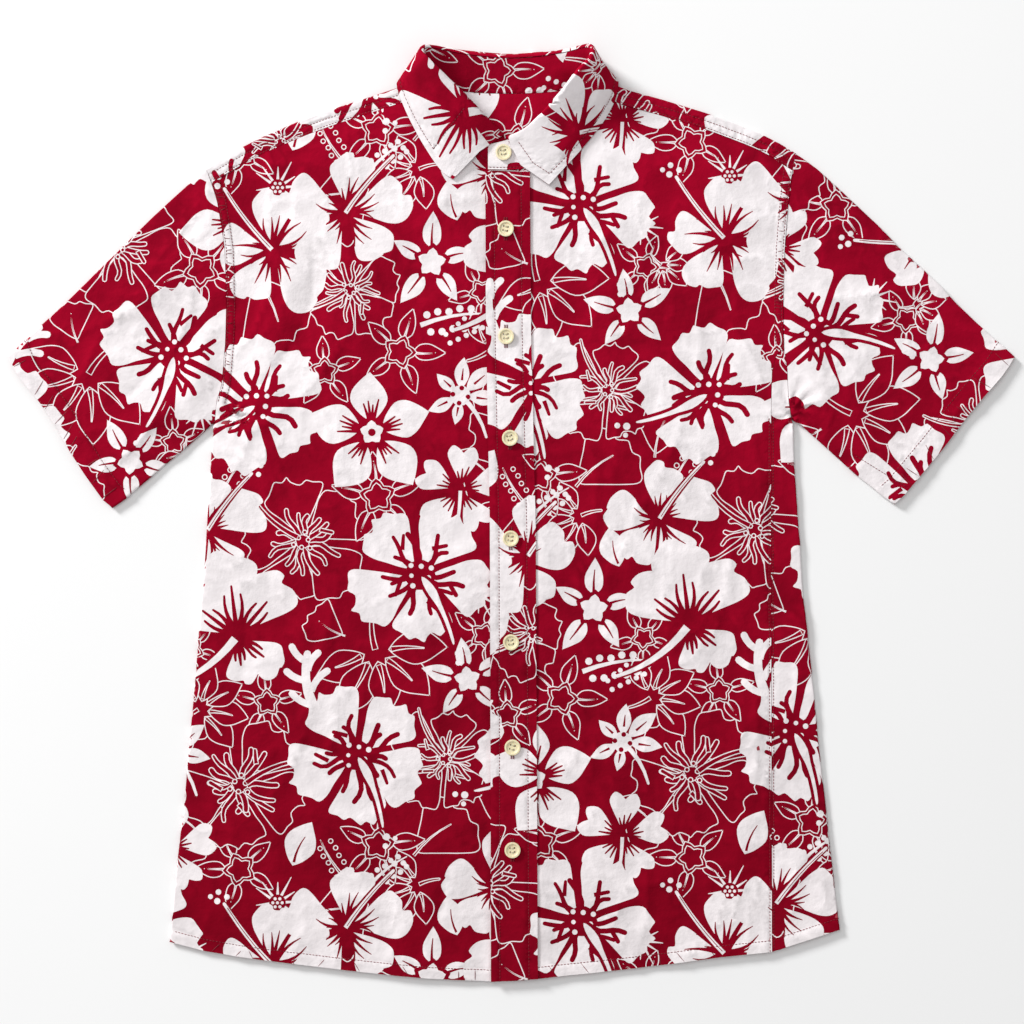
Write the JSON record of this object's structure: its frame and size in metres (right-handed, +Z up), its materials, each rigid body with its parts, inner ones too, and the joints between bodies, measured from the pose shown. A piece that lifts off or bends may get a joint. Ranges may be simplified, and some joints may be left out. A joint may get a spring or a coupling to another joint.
{
  "type": "short-sleeved shirt",
  "caption": "Man's short-sleeved shirt with a button front and a collar on a stand, buttoned up and laid flat on its back, in crimson cotton with a white flower print.",
  "frame": {"origin": "middle of the shirt's outline from above, on the surface that it lies on", "axes": "+X towards the wearer's left sleeve, +Y from the hem to the collar, +Z up from the surface to the fronts"},
  "size_m": [0.876, 0.8124, 0.033],
  "materials": {
    "printed_cotton": "matte plain weave",
    "button": "satin"
  },
  "bodies": {
    "root": {"back": "printed_cotton", "yoke": "printed_cotton", "front_right": "printed_cotton", "front_left": "printed_cotton", "placket": "printed_cotton", "sleeve_right": "printed_cotton", "sleeve_left": "printed_cotton", "collar_stand": "printed_cotton", "collar": "printed_cotton", "button_0": "button", "button_1": "button", "button_2": "button", "button_3": "button", "button_4": "button", "button_5": "button", "button_6": "button", "button_7": "button"}
  },
  "joints": []
}
